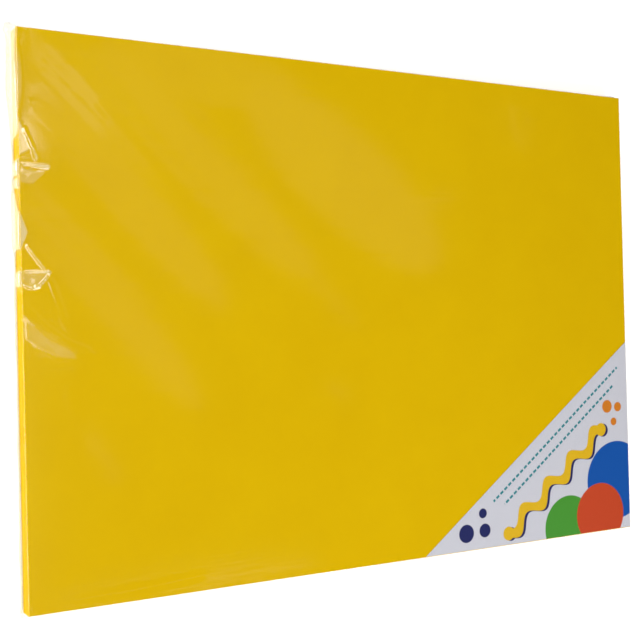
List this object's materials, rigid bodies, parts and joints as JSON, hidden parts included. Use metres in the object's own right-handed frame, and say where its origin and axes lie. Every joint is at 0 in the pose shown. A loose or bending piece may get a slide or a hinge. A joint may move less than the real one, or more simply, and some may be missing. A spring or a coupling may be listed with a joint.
{
  "type": "shrink-wrapped pack of craft foam sheets",
  "caption": "Flat shop pack of yellow craft foam sheets in tight clear film, with a triangular printed card in one corner under the film.",
  "frame": {"origin": "middle of the underside, on the surface that the pack lies on", "axes": "+X along the long side of the sheets, towards the end with the printed card; +Y along the short side, towards the edge without the card; +Z out of the front face"},
  "size_m": [0.903, 0.6522, 0.0246],
  "materials": {
    "yellow_foam": "matte closed-cell EVA foam",
    "printed_card": "coated printed card",
    "clear_film": "clear glossy shrink film"
  },
  "bodies": {
    "root": {"foam_sheet_01": "yellow_foam", "foam_sheet_02": "yellow_foam", "foam_sheet_03": "yellow_foam", "foam_sheet_04": "yellow_foam", "foam_sheet_05": "yellow_foam", "foam_sheet_06": "yellow_foam", "foam_sheet_07": "yellow_foam", "foam_sheet_08": "yellow_foam", "foam_sheet_09": "yellow_foam", "foam_sheet_10": "yellow_foam", "corner_label": "printed_card", "film_wrap": "clear_film"}
  },
  "joints": []
}
